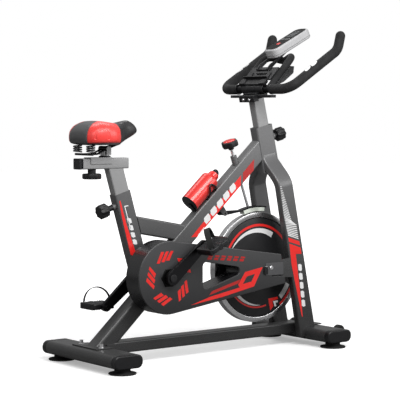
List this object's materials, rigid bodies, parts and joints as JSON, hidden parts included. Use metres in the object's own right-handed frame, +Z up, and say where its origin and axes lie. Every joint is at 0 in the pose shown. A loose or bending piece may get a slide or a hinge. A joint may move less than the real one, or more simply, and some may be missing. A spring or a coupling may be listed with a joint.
{
  "type": "exercise bike",
  "caption": "Indoor cycling bike with a welded tube frame, belt-driven flywheel, push brake, adjustable saddle and handlebar, console and bottle.",
  "frame": {"origin": "on the floor, under the middle of the bike's bounding box", "axes": "+X to the front of the bike, +Y to the rider's left, +Z up"},
  "size_m": [1.089, 0.468, 1.162],
  "materials": {
    "frame_paint": "satin dark grey metallic powder coat",
    "black_plastic": "black moulded plastic",
    "cover_plastic": "satin charcoal moulded plastic with red stripes",
    "black_rubber": "matt black rubber",
    "grip_foam": "matt black foam over steel tube",
    "flywheel_iron": "bright turned rim, matt black disc",
    "bright_steel": "bright plated steel",
    "black_steel": "black plated steel",
    "red_anodised": "gloss red aluminium",
    "saddle_vinyl": "red and black padded vinyl",
    "console_shell": "silver grey moulded plastic",
    "console_button": "red key",
    "brake_felt": "grey wool felt"
  },
  "bodies": {
    "frame": {"base_tube": "frame_paint", "rear_stabilizer": "frame_paint", "rear_cap_left": "black_plastic", "rear_cap_right": "black_plastic", "rear_foot_left": "black_rubber", "rear_foot_right": "black_rubber", "front_stabilizer": "frame_paint", "front_cap_left": "black_plastic", "front_cap_right": "black_plastic", "front_foot_left": "black_rubber", "front_foot_right": "black_rubber", "rear_leg": "frame_paint", "seat_tube": "frame_paint", "main_tube": "frame_paint", "cross_tube": "frame_paint", "head_tube": "frame_paint", "head_bushing": "black_plastic", "fork_leg_left": "frame_paint", "fork_leg_right": "frame_paint", "crank_bearing_left": "bright_steel", "crank_bearing_right": "bright_steel", "flywheel_axle": "bright_steel", "cover_outer": "cover_plastic", "cover_inner": "cover_plastic", "drive_belt": "black_rubber", "bottle_cage": "black_plastic"},
    "flywheel": {"flywheel": "flywheel_iron", "flywheel_pulley": "black_steel"},
    "crank": {"crank_spindle": "black_steel", "crank_arm_left": "black_steel", "crank_arm_right": "black_steel", "drive_pulley": "bright_steel", "pedal_spindle_left": "black_steel", "pedal_spindle_right": "black_steel"},
    "pedal_left": {"pedal_left": "black_plastic", "toe_strap_left": "black_rubber"},
    "pedal_right": {"pedal_right": "black_plastic", "toe_strap_right": "black_rubber"},
    "transport_wheel_left": {"transport_wheel_left": "black_rubber"},
    "transport_wheel_right": {"transport_wheel_right": "black_rubber"},
    "seat_post": {"seat_post": "frame_paint"},
    "saddle_slider": {"saddle_slider": "bright_steel"},
    "slider_knob": {"slider_knob": "black_plastic"},
    "saddle": {"saddle": "saddle_vinyl", "saddle_frame": "black_steel", "saddle_spring_left": "black_steel", "saddle_spring_right": "black_steel"},
    "seat_knob": {"seat_knob": "black_plastic"},
    "handlebar_knob": {"handlebar_knob": "black_plastic"},
    "brake_rod": {"brake_rod": "bright_steel"},
    "brake_knob": {"brake_knob": "black_plastic"},
    "brake_arm": {"brake_arm": "bright_steel", "brake_pad": "brake_felt"},
    "handlebar_post": {"handlebar_post": "frame_paint", "handlebar_clamp": "black_plastic"},
    "handlebar": {"handlebar": "grip_foam", "device_holder": "black_plastic", "console": "console_shell"},
    "console_button": {"console_button": "console_button"},
    "bottle": {"bottle": "red_anodised"}
  },
  "joints": [
    {"name": "flywheel_spin", "type": "hinge", "parent": "frame", "child": "flywheel", "pos_m": [0.2265, 0, 0.292], "axis": [0, 1, 0], "continuous": true},
    {"name": "crank_spin", "type": "hinge", "parent": "frame", "child": "crank", "pos_m": [-0.2505, 0, 0.294], "axis": [0, 1, 0], "continuous": true},
    {"name": "pedal_left_spin", "type": "hinge", "parent": "crank", "child": "pedal_left", "pos_m": [-0.38339, 0.123, 0.18639], "axis": [0, 1, 0], "continuous": true},
    {"name": "pedal_right_spin", "type": "hinge", "parent": "crank", "child": "pedal_right", "pos_m": [-0.11761, -0.192, 0.40161], "axis": [0, 1, 0], "continuous": true},
    {"name": "transport_wheel_left_spin", "type": "hinge", "parent": "frame", "child": "transport_wheel_left", "pos_m": [0.5215, 0.124, 0.046], "axis": [0, 1, 0], "continuous": true},
    {"name": "transport_wheel_right_spin", "type": "hinge", "parent": "frame", "child": "transport_wheel_right", "pos_m": [0.5215, -0.124, 0.046], "axis": [0, 1, 0], "continuous": true},
    {"name": "seat_post_slide", "type": "slide", "parent": "frame", "child": "seat_post", "axis": [-0.2807, 0, 0.9598], "range_m": [-0.06, 0.12]},
    {"name": "saddle_slide", "type": "slide", "parent": "seat_post", "child": "saddle_slider", "axis": [1, 0, 0], "range_m": [-0.03, 0.03]},
    {"name": "slider_knob_turn", "type": "hinge", "parent": "saddle_slider", "child": "slider_knob", "pos_m": [-0.4835, 0, 0.65], "axis": [0, 0, 1], "range_deg": [0, 360]},
    {"name": "saddle_tilt", "type": "hinge", "parent": "saddle_slider", "child": "saddle", "pos_m": [-0.4315, 0, 0.733], "axis": [0, 1, 0], "range_deg": [-4, 8]},
    {"name": "seat_knob_pull", "type": "slide", "parent": "frame", "child": "seat_knob", "axis": [-0.9598, 0, -0.2807], "range_m": [0, 0.01], "stiffness_N_per_m": 600, "springref_m": -0.004},
    {"name": "handlebar_knob_pull", "type": "slide", "parent": "frame", "child": "handlebar_knob", "axis": [0.9744, 0, 0.225], "range_m": [0, 0.01], "stiffness_N_per_m": 600, "springref_m": -0.004},
    {"name": "brake_push", "type": "slide", "parent": "frame", "child": "brake_rod", "axis": [0.342, 0, -0.9397], "range_m": [0, 0.0025], "stiffness_N_per_m": 4000, "springref_m": -0.005},
    {"name": "brake_knob_turn", "type": "hinge", "parent": "brake_rod", "child": "brake_knob", "pos_m": [0.1055, 0, 0.741], "axis": [-0.342, 0, 0.9397], "range_deg": [0, 720]},
    {"name": "brake_arm_swing", "type": "hinge", "parent": "frame", "child": "brake_arm", "pos_m": [0.0715, 0, 0.494], "axis": [0, 1, 0], "range_deg": [0, 1.25]},
    {"name": "handlebar_post_slide", "type": "slide", "parent": "frame", "child": "handlebar_post", "axis": [-0.225, 0, 0.9744], "range_m": [-0.08, 0.06]},
    {"name": "handlebar_tilt", "type": "hinge", "parent": "handlebar_post", "child": "handlebar", "pos_m": [0.2215, 0, 0.9365], "axis": [0, 1, 0], "range_deg": [-15, 15]},
    {"name": "console_button_press", "type": "slide", "parent": "handlebar", "child": "console_button", "axis": [0.454, 0, -0.891], "range_m": [0, 0.0015], "stiffness_N_per_m": 300, "springref_m": -0.001},
    {"name": "bottle_slide", "type": "slide", "parent": "frame", "child": "bottle", "axis": [0.7455, 0, 0.6665], "range_m": [0, 0.06]}
  ],
  "couplings": [
    {"joint": "crank_spin", "follows": "flywheel_spin", "ratio": 0.24444},
    {"joint": "brake_arm_swing", "follows": "brake_push", "rad_per_m": 8.3}
  ]
}
